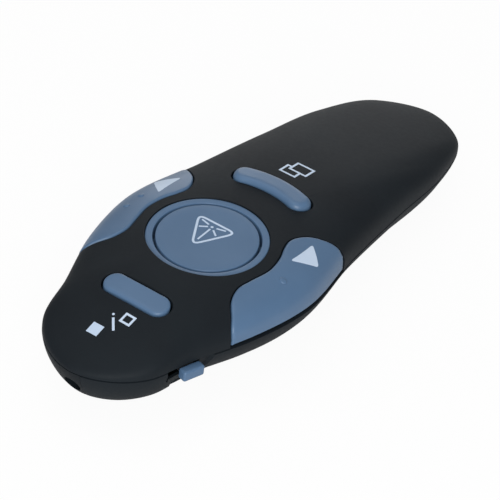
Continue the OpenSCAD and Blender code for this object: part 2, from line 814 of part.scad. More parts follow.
module receiver_plug() {
    color(metal) in_place() translate([0, plug_back - plug.y, plug_mid_z]) difference() {
        translate([-plug.x / 2, 0, -plug.z / 2]) cube(plug);
        translate([plug_wall - plug.x / 2, -1, plug_wall - plug.z / 2])
            cube([plug.x - 2 * plug_wall, plug.y + 2, plug.z - 2 * plug_wall]);
    }
}

module receiver_tongue() {
    color("#e8e6e0") in_place() translate([plug_wall - plug.x / 2, plug_back - plug.y + 0.5, plug_floor_z])
        cube([plug.x - 2 * plug_wall, plug.y - 0.5, tongue_t]);
}

module receiver_contacts() {
    pin = [1, 8, 0.1];
    pin_setback = 1.5;
    color(gold) in_place() for (x = [-3.5, -1, 1, 3.5])
        translate([x - pin.x / 2, plug_back - plug.y + pin_setback, plug_floor_z + tongue_t]) cube(pin);
}

top_shell();
bottom_shell();
nose_panel();
ring_frame();
laser_button();
left_page_button();
right_page_button();
screen_button();
window_button();
battery_door();
switch_cap();
switch_slider();
switch_can();
circuit_board();
tact_housings();
laser_plunger();
left_plunger();
right_plunger();
screen_plunger();
window_plunger();
control_chip();
clock_crystal();
antenna_trace();
laser_barrel();
laser_lens();
laser_leads();
left_cell();
right_cell();
battery_springs();
negative_contact();
positive_contact();
bridge_contact();
case_screws();
board_screws();
receiver_case();
receiver_plug();
receiver_tongue();
receiver_contacts();
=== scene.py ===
import bpy
import bmesh
import math
from mathutils import Matrix, Vector


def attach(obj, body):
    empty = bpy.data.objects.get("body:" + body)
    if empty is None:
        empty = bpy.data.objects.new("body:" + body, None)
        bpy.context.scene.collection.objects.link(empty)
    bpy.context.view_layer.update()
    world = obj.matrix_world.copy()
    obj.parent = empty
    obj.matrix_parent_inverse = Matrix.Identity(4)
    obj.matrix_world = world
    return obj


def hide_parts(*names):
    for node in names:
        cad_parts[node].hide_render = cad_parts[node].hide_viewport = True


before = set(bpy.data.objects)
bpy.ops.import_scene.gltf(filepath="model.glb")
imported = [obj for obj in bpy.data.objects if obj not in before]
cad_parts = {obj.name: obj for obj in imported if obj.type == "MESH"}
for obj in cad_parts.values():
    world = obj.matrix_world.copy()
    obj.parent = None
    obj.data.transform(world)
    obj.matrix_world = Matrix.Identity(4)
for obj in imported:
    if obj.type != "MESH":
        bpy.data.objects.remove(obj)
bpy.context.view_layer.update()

# ---- Lower housing ----
# The lower half of the body: a moulded ABS tub with a flat belly, sprayed with soft-touch paint.
# It carries the battery bay, the receiver bay, the screw posts and the laser's ribs in one moulding.
# It is drawn in millimetres about the middle of the laser button, with the seam at z = 0.
HALF_WIDTH = 20.3     # half the widest width, at the page buttons
HALF_PLAN = [(0, -37.2), (6.1, -35.3), (11.15, -30.55), (13.9, -21.9), (18.05, -10.5), (HALF_WIDTH, 2.7),
             (17.6, 20.8), (15.6, 40), (13.9, 57.1), (9.3, 70), (0, 75)]
TOP_RISE = [(-41.2, 1.75), (-21.6, 5.9), (0, 7.4), (27, 7.6), (54, 6), (75.6, 4.3)]
BELLY_DROP = [(-37.2, 23.1), (-21.6, 14.2), (0, 13.4), (21.6, 12.6), (48.6, 14.2), (75, 23)]
BELLY = 11.4          # depth of the flat belly under the seam
BELLY_FILLET = 0.8    # reach of the fillet where the sides meet the flat belly
SEAM_BOW = 7          # drop of the seam at 100 mm from the laser button
GROOVE = 0.15         # height of the chamfer along the seam
GROOVE_RATIO = 3      # the chamfer's depth against its height
MIDDLE = 18.9         # middle of the body behind the laser button
TO_FRAME = Matrix.Translation((0, -MIDDLE / 1000, BELLY / 1000)) @ Matrix.Scale(0.001, 4)
# Powers of the rounded section, across and up, of the dome and of the belly
TOP_ACROSS, TOP_UP = 2.42, 3.57
BELLY_ACROSS, BELLY_UP = 2.0, 1.5


def cubic(a, b, ma, mb, t):
    """A point between a and b on the cubic with slopes ma and mb."""
    return ((2 * t**3 - 3 * t**2 + 1) * a + (t**3 - 2 * t**2 + t) * ma
            + (3 * t**2 - 2 * t**3) * b + (t**3 - t**2) * mb)


def mid_slope(a, b, c, g, h):
    """Slope at b between a and c, which lie g before and h behind it."""
    return ((b - a) * (h / g) + (c - b) * (g / h)) * (1 / (g + h))


def smooth_path(points, steps, closed=False):
    """A smooth curve through points, with steps pieces between two of them."""
    p = [Vector(q) for q in points]
    n = len(p)

    def stride(i):
        return (p[(i + 1) % n] - p[i % n]).length ** 0.8

    def slope(i):
        if not closed and i == 0:
            return (p[1] - p[0]) / stride(0)
        if not closed and i == n - 1:
            return (p[i] - p[i - 1]) / stride(i - 1)
        return mid_slope(p[(i - 1) % n], p[i % n], p[(i + 1) % n], stride(i - 1), stride(i))

    path = [cubic(p[i], p[(i + 1) % n], slope(i) * stride(i), slope((i + 1) % n) * stride(i), j / steps)
            for i in range(n if closed else n - 1) for j in range(steps)]
    return path if closed else path + [p[-1]]


def height(knots, y):
    """A smooth height through knots (y, height)."""
    def slope(i):
        if 0 < i < len(knots) - 1:
            (a, za), (b, zb), (c, zc) = knots[i - 1:i + 2]
            return mid_slope(za, zb, zc, b - a, c - b)
        (a, za), (b, zb) = knots[:2] if i == 0 else knots[-2:]
        return (zb - za) / (b - a)

    i = 0
    while i < len(knots) - 2 and y > knots[i + 1][0]:
        i += 1
    h = knots[i + 1][0] - knots[i][0]
    t = max(0, min(1, (y - knots[i][0]) / h))
    return cubic(knots[i][1], knots[i + 1][1], slope(i) * h, slope(i + 1) * h, t)


def seam(y):
    """Height of the seam line, which bows down towards both ends."""
    return -SEAM_BOW * (y / 100) ** 2


OUTLINE = smooth_path(HALF_PLAN + [(-x, y) for x, y in HALF_PLAN[-2:0:-1]], 12, closed=True)
OUTLINE = [Vector((max(-HALF_WIDTH, min(HALF_WIDTH, q.x)), q.y)) for q in OUTLINE]


def rounded_max(z, low, r):
    """z, held above low, with a fillet of reach r where the two meet."""
    h = max(r - abs(z - low), 0) / r
    return max(z, low) + h * h * r / 4


def half_body(side, inset=0.0, lip=0.0, groove=0.0, rings=44):
    """Rows of points for one half of the body: the top for side 1 and the belly for side -1.
    It is drawn in by inset, its edge lies lip over the seam, and groove is its chamfer's height."""
    top = side > 0
    knots, a, b = (TOP_RISE, TOP_ACROSS, TOP_UP) if top else (BELLY_DROP, BELLY_ACROSS, BELLY_UP)
    crowding = 1.7 if top else 1.2
    plan = [q * (1 - inset / q.length) for q in OUTLINE]
    inner = [q * (1 - GROOVE_RATIO * groove / q.length) for q in plan]
    rows = [[(0, 0, lip)] * len(plan), [(q.x, q.y, seam(q.y) + lip) for q in inner]]
    for j in range(rings + 1):
        t = math.pi / 2 * (j / rings) ** crowding
        k, f = max(math.cos(t), 0) ** (2 / a), math.sin(t) ** (2 / b)
        row = []
        for q in plan:
            y = q.y * k
            z = seam(y) + side * max(groove, (height(knots, y) - inset) * f)
            row.append((q.x * k, y, z if top else rounded_max(z, inset - BELLY, BELLY_FILLET)))
        rows.append(row)
    return rows


def solid(bm):
    """A bmesh as an object, with its faces turned outwards."""
    bmesh.ops.remove_doubles(bm, verts=bm.verts, dist=0.0005)
    bmesh.ops.recalc_face_normals(bm, faces=bm.faces)
    mesh = bpy.data.meshes.new("tool")
    bm.to_mesh(mesh)
    bm.free()
    obj = bpy.data.objects.new("tool", mesh)
    bpy.context.scene.collection.objects.link(obj)
    return obj


def loft(rows):
    """Solid through equal closed rows of points. Its ends are poles or flat faces."""
    n, m = len(rows[0]), len(rows)
    bm = bmesh.new()
    bmesh.ops.create_grid(bm, x_segments=n, y_segments=m - 1, size=1)
    for v in bm.verts:
        v.co = rows[round((v.co.y + 1) / 2 * (m - 1))][round((v.co.x + 1) / 2 * n) % n]
    bmesh.ops.remove_doubles(bm, verts=bm.verts, dist=0.0005)
    bmesh.ops.holes_fill(bm, edges=bm.edges, sides=0)
    return solid(bm)


def block(low, high, bevel=0.0, segments=3):
    """Box between two corners, with its edges rounded by bevel."""
    bm = bmesh.new()
    bmesh.ops.create_cube(bm, size=1)
    low, high = Vector(low), Vector(high)
    bmesh.ops.scale(bm, vec=high - low, verts=bm.verts)
    bmesh.ops.translate(bm, vec=(low + high) / 2, verts=bm.verts)
    if bevel:
        bmesh.ops.bevel(bm, geom=bm.edges, offset=bevel, segments=segments, profile=0.5, affect="EDGES",
                        material=-1)
    return solid(bm)


def rod(start, end, r0, r1=None, sides=64):
    """Round bar between two points."""
    start, end = Vector(start), Vector(end)
    turn = (end - start).to_track_quat("Z", "Y").to_matrix().to_4x4()
    bm = bmesh.new()
    bmesh.ops.create_cone(bm, cap_ends=True, segments=sides, radius1=r0, radius2=r0 if r1 is None else r1,
                          depth=(end - start).length, matrix=Matrix.Translation((start + end) / 2) @ turn)
    return solid(bm)


def prism(outline, low, high):
    """Upright solid over a closed outline."""
    bm = bmesh.new()
    face = bm.faces.new([bm.verts.new((x, y, low)) for x, y in outline])
    up = bmesh.ops.extrude_face_region(bm, geom=[face], use_keep_orig=True)["geom"]
    top = [v for v in up if isinstance(v, bmesh.types.BMVert)]
    bmesh.ops.translate(bm, vec=(0, 0, high - low), verts=top)
    return solid(bm)


def carve(piece, how, *tools):
    """Joins, cuts or intersects piece with each of the tools in turn."""
    for tool in tools:
        step = piece.modifiers.new("carve", "BOOLEAN")
        step.object, step.operation, step.solver = tool, how, "MANIFOLD"
    done = bpy.data.meshes.new_from_object(piece.evaluated_get(bpy.context.evaluated_depsgraph_get()))
    piece.modifiers.clear()
    piece.data = done
    for tool in tools:
        bpy.data.objects.remove(tool)
    return piece


def rounded_plan(low, high, r, steps=8):
    """Rectangle with round corners, as a closed outline."""
    corners = [(high[0] - r, high[1] - r, 0), (low[0] + r, high[1] - r, 90),
               (low[0] + r, low[1] + r, 180), (high[0] - r, low[1] + r, 270)]
    return [(x + r * math.cos(a), y + r * math.sin(a)) for x, y, start in corners
            for a in [math.radians(start + 90 * i / steps) for i in range(steps + 1)]]


def linear(code, alpha=1.0):
    """An sRGB hex colour as linear values."""
    parts = [int(code[i:i + 2], 16) / 255 for i in (1, 3, 5)]
    return [c / 12.92 if c <= 0.04045 else ((c + 0.055) / 1.055) ** 2.4 for c in parts] + [alpha]


def node(tree, kind, inputs=None, **settings):
    """A node with its settings, and its inputs set or linked."""
    made = tree.nodes.new(kind)
    for key, value in settings.items():
        setattr(made, key, value)
    for key, value in (inputs or {}).items():
        if isinstance(value, bpy.types.NodeSocket):
            tree.links.new(value, made.inputs[key])
        else:
            made.inputs[key].default_value = value
    return made


def finish_of(name, tones, grain_mm, depth_mm, roughness, blotch_mm=9.0, **sockets):
    """Moulded, painted or plated finish. Its colour drifts between two tones over blotch_mm, its
    roughness varies between two values, and its grain of that width stands that high."""
    mat = bpy.data.materials.new(name)
    mat.use_nodes = True
    tree = mat.node_tree
    tree.nodes.clear()
    place = node(tree, "ShaderNodeTexCoord").outputs["Object"]
    drift = node(tree, "ShaderNodeTexNoise", {"Vector": place, "Scale": 1000 / blotch_mm, "Detail": 3.0})
    grain = node(tree, "ShaderNodeTexNoise", {"Vector": place, "Scale": 500 / grain_mm, "Detail": 2.0})
    grain = grain.outputs["Fac"]
    colour = node(tree, "ShaderNodeValToRGB", {"Fac": drift.outputs["Fac"]})
    for stop, at, tone in zip(colour.color_ramp.elements, (0.35, 0.65), tones):
        stop.position = at
        stop.color = linear(tone)
    rough = node(tree, "ShaderNodeMapRange", {"Value": grain, "To Min": roughness[0], "To Max": roughness[1]})
    bump = node(tree, "ShaderNodeBump", {"Height": grain, "Strength": 1.0, "Distance": depth_mm / 1000})
    shader = node(tree, "ShaderNodeBsdfPrincipled", {
        "Base Color": colour.outputs["Color"], "Roughness": rough.outputs["Result"],
        "Normal": bump.outputs["Normal"], **{k.replace("_", " "): v for k, v in sockets.items()}})
    node(tree, "ShaderNodeOutputMaterial", {"Surface": shader.outputs["BSDF"]})
    return mat


def hand_over(name, piece, finish, body, slot, *nodes, sharp=32):
    """Moves a piece from the drawing's millimetres into the frame and fits it to its CAD body."""
    piece.name = piece.data.name = name
    piece.data.transform(TO_FRAME)
    bm = bmesh.new()
    bm.from_mesh(piece.data)
    for f in bm.faces:
        f.smooth, f.material_index = True, 0
    for e in bm.edges:
        e.smooth = e.calc_face_angle(0) < math.radians(sharp)
    bm.to_mesh(piece.data)
    bm.free()
    piece.data.materials.clear()
    piece.data.materials.append(finish)
    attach(piece, body)
    if nodes:
        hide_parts(*nodes)
    return piece


# Soft-touch polyurethane paint over black ABS: a matt, slightly rubbery skin with a broad dull sheen.
# Real spray grain is about 0.1 mm wide; it is drawn at 0.4 mm so that it shows.
soft_touch = finish_of("soft_touch_paint_black", ("#151a1f", "#181e23"), 0.4, 0.006, (0.55, 0.65), 14.0,
                       IOR=1.45, Specular_IOR_Level=0.15)

FAR = 60              # past the body on every side, for cutters
WALL = 1.5
BAY_FRONT, BAY_BACK, BAY_HALF, BAY_WALL = 3.6, 52.1, 11.0, 1.1
RECEIVER_HALF, RECEIVER_FRONT, RECEIVER_BACK = 7.5, -17.0, 2.1
CASE_SCREWS = [(11.5, -15.5, -3.6), (-11.5, -15.5, -3.6), (7.8, 58.5, -7.1), (-7.8, 58.5, -7.1)]
CELL_X, CELL_Z = 5.45, -4.3
LASER_Z = -4.4        # the laser's axis
BARREL_Y = -32.2      # front of the laser's barrel
APERTURE_R = 1.6
BAY_OUTSIDE = BAY_HALF + BAY_WALL
BAY_START = BAY_FRONT - BAY_WALL
RECEIVER_OUTSIDE = RECEIVER_HALF + BAY_WALL
RECEIVER_WALL_TOP = -4.3
RIB_HALF = 3.8
ribs = carve(block((-BAY_OUTSIDE, BAY_START, -FAR), (BAY_OUTSIDE, BAY_FRONT, 0)), "UNION",
             block((-BAY_OUTSIDE, BAY_BACK, -FAR), (BAY_OUTSIDE, BAY_BACK + BAY_WALL, 0)),
             block((-BAY_OUTSIDE, BAY_START, -FAR), (-BAY_HALF, BAY_BACK + 1, 0)),
             block((BAY_HALF, BAY_START, -FAR), (BAY_OUTSIDE, BAY_BACK + 1, 0)),
             block((-RECEIVER_OUTSIDE, RECEIVER_FRONT - BAY_WALL, -FAR),
                   (RECEIVER_OUTSIDE, BAY_FRONT, RECEIVER_WALL_TOP)),
             block((-RIB_HALF, BARREL_Y + 2.3, -FAR), (RIB_HALF, BARREL_Y + 3.5, LASER_Z)),
             block((-RIB_HALF, BARREL_Y + 8.3, -FAR), (RIB_HALF, BARREL_Y + 9.5, LASER_Z)),
             *[rod((x, y, -FAR), (x, y, 0), 2.6) for x, y, z in CASE_SCREWS])
hollow = carve(loft(half_body(-1, inset=WALL, lip=1)), "DIFFERENCE", ribs)


def nose_block(grow):
    """Leaning block that holds the nose panel, larger by grow for its seat."""
    piece = block((-2.1 - grow, -3, -1.8 - grow), (2.1 + grow, 1.8 + grow, 3.8 + grow))
    piece.data.transform(Matrix.Translation((0, -37.2, LASER_Z)) @ Matrix.Rotation(math.radians(18), 4, "X"))
    return piece


SWITCH = Matrix.Translation((13.8, -22.25, 0)) @ Matrix.Rotation(math.radians(-16), 4, "Z")


def at_switch(piece):
    """Moves a piece from the switch's own axes, with X out through the wall of the neck."""
    piece.data.transform(SWITCH)
    return piece


recess = carve(at_switch(prism([(2.5, -7.1), (2.5, 7.1), (-4.5, 0)], -FAR, FAR)), "DIFFERENCE",
               loft(half_body(-1, inset=0.6, lip=1)))
# The finger hollow across the back of the receiver bay and the thumb hollow behind the door
HOLLOW_R, HOLLOW_Z = 4.4, -14.9


def thumb_hollow(y):
    """Ball that cuts the thumb hollow at y."""
    return loft([[(HOLLOW_R * math.cos(b) * math.cos(a), y + HOLLOW_R * math.cos(b) * math.sin(a),
                   HOLLOW_Z + HOLLOW_R * math.sin(b)) for a in [math.tau * i / 64 for i in range(64)]]
                 for b in [math.pi * (j / 32 - 0.5) for j in range(33)]])


lower = carve(loft(half_body(-1, groove=GROOVE)), "DIFFERENCE", hollow,
              prism(rounded_plan((-BAY_HALF, BAY_FRONT), (BAY_HALF, BAY_BACK), 1.2), -FAR, CELL_Z),
              block((-BAY_HALF, BAY_FRONT, -9.3), (BAY_HALF, BAY_BACK, 2.1)),
              block((-2.8, 2.3, -10.1), (2.8, 4.4, -8.4)),
              block((-RECEIVER_HALF, RECEIVER_FRONT, -FAR), (RECEIVER_HALF, RECEIVER_BACK, -5.4)),
              rod((-10, -1, HOLLOW_Z), (10, -1, HOLLOW_Z), HOLLOW_R, sides=96),
              rod((0, -38.2, LASER_Z), (0, -30.2, LASER_Z), APERTURE_R),
              rod((0, BARREL_Y - 0.2, LASER_Z), (0, BARREL_Y + 29.8, LASER_Z), 2.85),
              nose_block(0.05), at_switch(block((-3.7, -4.55, -2.945), (6.3, 2.35, 1))), recess,
              thumb_hollow(54.1),
              *[rod((x, y, -FAR), (x, y, 1), 1.0, sides=32) for x, y, z in CASE_SCREWS],
              *[rod((x, y, -FAR), (x, y, z), 1.85, sides=48) for x, y, z in CASE_SCREWS])
hand_over("lower_housing", lower, soft_touch, "housing", "soft_black", "bottom_shell")

# ---- Laser module ----
# A bought-in module on two ribs of the lower housing: a turned brass barrel, a clear moulded lens in
# its mouth, and two insulated leads that bend up to the circuit board.
def turned(profile, steps=128):
    """Solid turned about Z from a closed profile of (radius, height)."""
    bm = bmesh.new()
    verts = [bm.verts.new((r, 0, z)) for r, z in profile]
    edges = [bm.edges.new((verts[i - 1], verts[i])) for i in range(len(verts))]
    bmesh.ops.spin(bm, geom=verts + edges, axis=(0, 0, 1), cent=(0, 0, 0), angle=math.tau, steps=steps,
                   use_merge=True)
    return solid(bm)


def arc(cx, cz, r, start, end, steps=5):
    """Points of a profile on an arc, from one angle in degrees to another."""
    return [(cx + r * math.cos(a), cz + r * math.sin(a))
            for a in [math.radians(start + (end - start) * i / steps) for i in range(steps + 1)]]


# Machined brass: warm, with a satin glint from the fine turning marks
turned_brass = finish_of("turned_brass", ("#a8863c", "#b8954a"), 0.3, 0.004, (0.22, 0.38), 3.0, Metallic=1.0)
# Clear acrylic: what lies behind it shows through, under one sharp highlight
clear_acrylic = finish_of("moulded_clear_acrylic", ("#e8ecee", "#f0f4f6"), 2.0, 0.0005, (0.02, 0.05),
                          Transmission_Weight=1.0, IOR=1.49)
# Soft PVC sleeve: satin, evenly coloured
red_pvc = finish_of("extruded_red_pvc", ("#952b2b", "#a23434"), 0.4, 0.002, (0.4, 0.5), IOR=1.5)
ALONG_Y = Matrix.Translation((0, BARREL_Y, LASER_Z)) @ Matrix.Rotation(math.radians(-90), 4, "X")
barrel = turned([(2.2, 0.15), (2.3, 0), (2.65, 0), (2.8, 0.15), (2.8, 7.4), (2.68, 7.5), (2.68, 7.8),
                 (2.8, 7.9), (2.8, 10.8), (2.6, 11), (0, 11), (0, 2), (2.2, 2)], 96)
barrel.data.transform(ALONG_Y)
hand_over("laser_tube", barrel, turned_brass, "housing", "brass_barrel", "laser_barrel")
lens = turned([(0, 0.5), (0.7, 0.54), (1.3, 0.66), (1.8, 0.88), (2.15, 1.1), (2.15, 1.8), (0, 1.8)], 64)
lens.data.transform(ALONG_Y)
hand_over("laser_front_lens", lens, clear_acrylic, "housing", "clear_lens", "laser_lens")


def dress(finish, *names):
    """Gives CAD nodes whose shape is right their finish."""
    for name in names:
        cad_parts[name].material_slots[0].material = finish


dress(red_pvc, "laser_leads")

# ---- Nose panel ----
# Small moulded ABS panel round the laser's aperture, pressed into the nose from outside.
# It is unpainted, with a fine moulded texture about as dull as the paint of the housings.
moulded_black = finish_of("moulded_black_abs", ("#12171b", "#151a1f"), 0.5, 0.004, (0.5, 0.6), IOR=1.5,
                          Specular_IOR_Level=0.12)
panel = carve(nose_block(0), "INTERSECT", loft(half_body(-1)))
carve(panel, "DIFFERENCE", rod((0, -38.2, LASER_Z), (0, -30.2, LASER_Z), APERTURE_R))
hand_over("nose_insert", panel, moulded_black, "housing", "panel_black", "nose_panel")

# ---- Power switch ----
# A bought-in slide switch under the circuit board: a pressed nickel-plated can and a black nylon
# slider, whose flange closes the slot in the neck. A slate-blue ABS knob is pushed onto its arm.

# Moulded ABS, coloured through: satin, with an even fine grain and a soft broad highlight
slate_abs = finish_of("moulded_slate_blue_abs", ("#4c6887", "#506c8b"), 0.5, 0.006, (0.34, 0.42), IOR=1.5,
                      Specular_IOR_Level=0.4)
# Nickel plate: a cool, slightly cloudy mirror
nickel = finish_of("satin_nickel_plate", ("#b9b9b4", "#c9c9c5"), 0.4, 0.002, (0.2, 0.34), 4.0, Metallic=1.0)
# Moulded nylon: dull and a little waxy
black_nylon = finish_of("moulded_black_nylon", ("#202022", "#27272a"), 0.3, 0.003, (0.45, 0.6), 3.0, IOR=1.53)
dress(nickel, "switch_can")
dress(black_nylon, "switch_slider")
knob = at_switch(block((-0.4, -2.15, -2.745), (1.45, 2.15, -0.695), 0.42, 5))
hand_over("switch_knob", knob, slate_abs, "power_switch", "slate_blue", "switch_cap")

# ---- Battery contacts ----
# Two nickel-plated plates on the front wall of the bay, a bridge on its back wall, and a conical coil
# spring for the flat end of each cell. The springs are wound from 0.6 mm wire.
def wire(path, r, sides=12):
    """Round wire along a path that never runs along Y."""
    rows = []
    for i, p in enumerate(path):
        t = (path[min(i + 1, len(path) - 1)] - path[max(i - 1, 0)]).normalized()
        a = t.cross(Vector((0, 1, 0))).normalized()
        rows.append([p + r * (a * math.cos(b) + a.cross(t) * math.sin(b))
                     for b in [math.tau * k / sides for k in range(sides)]])
    return loft(rows)


SPRING_WIRE_R = 0.3
SPRING_TURNS = 4
SPRING_STEPS = 144
SPRING_FEET = (3.9, 51.8)


def spring(x, y, turn):
    """Conical spring from its foot at y towards +Y for turn 1, with flat end coils."""
    path = []
    for i in range(SPRING_STEPS + 1):
        t = i / SPRING_STEPS
        a, r = 2 * SPRING_TURNS * math.pi * t, 3.4 - 1.4 * t
        rise = 0.3 + 2.8 * max(0, min(1, (t - 0.14) / 0.76))
        path.append(Vector((x + r * math.cos(a), y + turn * rise, CELL_Z - turn * r * math.sin(a))))
    return wire(path, SPRING_WIRE_R)


springs = carve(spring(CELL_X, SPRING_FEET[0], 1), "UNION", spring(-CELL_X, SPRING_FEET[1], -1))
hand_over("cell_springs", springs, nickel, "housing", "nickel_plate", "battery_springs")
dress(nickel, "negative_contact", "positive_contact", "bridge_contact")

# ---- Circuit board ----
# Glass-epoxy board under green solder mask, held to the upper housing by four screws. It carries five
# tact switches with their plungers, the control chip, a clock crystal and a folded printed aerial.
mask = bpy.data.materials.new("green_solder_mask")
mask.use_nodes = True
tree = mask.node_tree
tree.nodes.clear()
place = node(tree, "ShaderNodeTexCoord").outputs["Object"]
# Copper tracks under the mask, a lighter green and a little raised. All sizes are in millimetres.
TRACK_WIDTH, TRACK_PITCH, TRACK_RUN = 0.3, 1.1, 7.3
tracks = node(tree, "ShaderNodeTexBrick", {
    "Vector": place, "Scale": 1000.0, "Mortar Size": TRACK_WIDTH / 2, "Mortar Smooth": 0.2, "Bias": 0.0,
    "Brick Width": TRACK_RUN, "Row Height": TRACK_PITCH, "Color1": linear("#164a2f"),
    "Color2": linear("#184d32"), "Mortar": linear("#236340")},
    offset=0.31, offset_frequency=3, squash=0.37, squash_frequency=2)
rise = node(tree, "ShaderNodeBump", {"Height": tracks.outputs["Fac"], "Strength": 1.0, "Distance": 0.00003})
shader = node(tree, "ShaderNodeBsdfPrincipled", {
    "Base Color": tracks.outputs["Color"], "Roughness": 0.32, "IOR": 1.5, "Normal": rise.outputs["Normal"]})
node(tree, "ShaderNodeOutputMaterial", {"Surface": shader.outputs["BSDF"]})
# Gold flash over copper: deep yellow and smooth
gold = finish_of("gold_flash_plate", ("#c39a42", "#d0a950"), 0.3, 0.001, (0.18, 0.28), 2.0, Metallic=1.0)
# Natural nylon: creamy, and light passes a little way into it
cream_nylon = finish_of("moulded_natural_nylon", ("#d2ccbd", "#dcd6c8"), 0.3, 0.002, (0.42, 0.55), 2.0,
                        IOR=1.53, Subsurface_Weight=0.2, Subsurface_Scale=0.0004)
dress(mask, "circuit_board")
dress(gold, "antenna_trace")
dress(cream_nylon, "laser_plunger", "left_plunger", "right_plunger", "screen_plunger", "window_plunger")
KEY_Y = 19.8          # front and curved buttons, before and behind the laser button
TACTS = [(0, 0), (0, -KEY_Y), (0, KEY_Y), (14.3, 2), (-14.3, 2)]
BOARD_TOP, TACT_TOP, COVER_TOP = 2.05, 3.2, 3.45


def joined(*pieces):
    """Separate solids as one object."""
    bm = bmesh.new()
    for piece in pieces:
        bm.from_mesh(piece.data)
        bpy.data.objects.remove(piece)
    return solid(bm)


tact_bodies = joined(*[block((x - 2, y - 2, BOARD_TOP), (x + 2, y + 2, TACT_TOP), 0.15, 2) for x, y in TACTS])
carve(tact_bodies, "DIFFERENCE", *[rod((x, y, 2.55), (x, y, 4), 0.95, sides=32) for x, y in TACTS])
hand_over("tact_bodies", tact_bodies, black_nylon, "housing", "black_nylon", "tact_housings")


def tact_cover(x, y):
    """Pressed cover of a tact switch, with the plunger's hole and the hollows over its four pins."""
    pins = [(x + a, y + b) for a in (-1.45, 1.45) for b in (-1.45, 1.45)]
    return carve(block((x - 1.9, y - 1.9, TACT_TOP), (x + 1.9, y + 1.9, COVER_TOP), 0.06, 2), "DIFFERENCE",
                 rod((x, y, 3), (x, y, 4), 1.0, sides=48),
                 *[rod((a, b, 3.35), (a, b, 4), 0.28, sides=24) for a, b in pins])


hand_over("tact_covers", joined(*[tact_cover(x, y) for x, y in TACTS]), nickel, "housing", "nickel_plate")
chip = carve(block((-2.5, 8, BOARD_TOP), (2.5, 13, 2.95), 0.1, 2), "DIFFERENCE",
             rod((-1.8, 12.3, 2.9), (-1.8, 12.3, 3.2), 0.3))
hand_over("radio_chip", chip, black_nylon, "housing", "black_nylon", "control_chip")
crystal = carve(prism(rounded_plan((-8, 9), (-4.8, 11.5), 0.5), BOARD_TOP, 2.2), "UNION",
                prism(rounded_plan((-7.8, 9.2), (-5, 11.3), 0.45), 2.2, 2.75))
hand_over("crystal_can", crystal, nickel, "housing", "nickel_plate", "clock_crystal")
THREAD_R, THREAD_DEPTH, THREAD_STEP = 0.8, 0.18, 0.22


def screw(x, y, z, length):
    """Cross-recess screw that points up from its head's seat at z."""
    thread = [(THREAD_R - THREAD_DEPTH * (i % 2), 0.2 + THREAD_STEP * i)
              for i in range(int((length - 0.6) / THREAD_STEP))]
    piece = turned([(0, -1.2), (1.0, -1.2)] + arc(1.0, -0.5, 0.7, 270, 360) + [(1.7, 0), (0.8, 0)] + thread
                   + [(0.35, length), (0, length)], 48)
    for a in (0, 90):
        slot = block((-0.95, -0.19, -1.4), (0.95, 0.19, -0.55))
        slot.data.transform(Matrix.Rotation(math.radians(a), 4, "Z"))
        carve(piece, "DIFFERENCE", slot)
    piece.data.transform(Matrix.Translation((x, y, z)))
    return piece


BOARD_SCREWS = [(9.9, -9.4), (-9.9, -9.4), (10.7, 22.6), (-10.7, 22.6)]
hand_over("board_fasteners", joined(*[screw(x, y, 1.25, 2.4) for x, y in BOARD_SCREWS]), nickel, "housing",
          "nickel_plate", "board_screws")

# ---- Laser button and its ring ----
# A flat ABS disc that is pressed to light the laser, in a fixed ABS ring. Both slope down a little
# towards the nose, as the top of the body does. A fine groove runs between them.
RING_FORWARD = 0.1    # the ring's middle, towards the nose
DISH = 0.075          # how deep the laser button is dished
RING_TILT = Matrix.Translation((0, -RING_FORWARD, 6.7)) @ Matrix.Rotation(math.radians(3.6), 4, "X")
ring = turned([(9.52, -2.6), (10.75, -2.6)] + arc(10.65, -0.2, 0.2, 0, 90)
              + arc(9.64, -0.12, 0.12, 90, 180, 3))
ring.data.transform(RING_TILT)
hand_over("laser_button_ring", ring, slate_abs, "housing", "slate_blue", "ring_frame")
disc = turned([(0, -1.3), (8.2, -1.3), (8.2, -3.3), (10.1, -3.3), (10.1, -2.7), (9.04, -2.7)]
              + arc(8.89, -0.15, 0.15, 0, 90) + [(7.5, -0.015), (5, -0.05), (2.5, -0.07), (0, -DISH)])
disc.data.transform(RING_TILT)
hand_over("laser_button_disc", disc, slate_abs, "laser_press", "slate_blue", "laser_button")

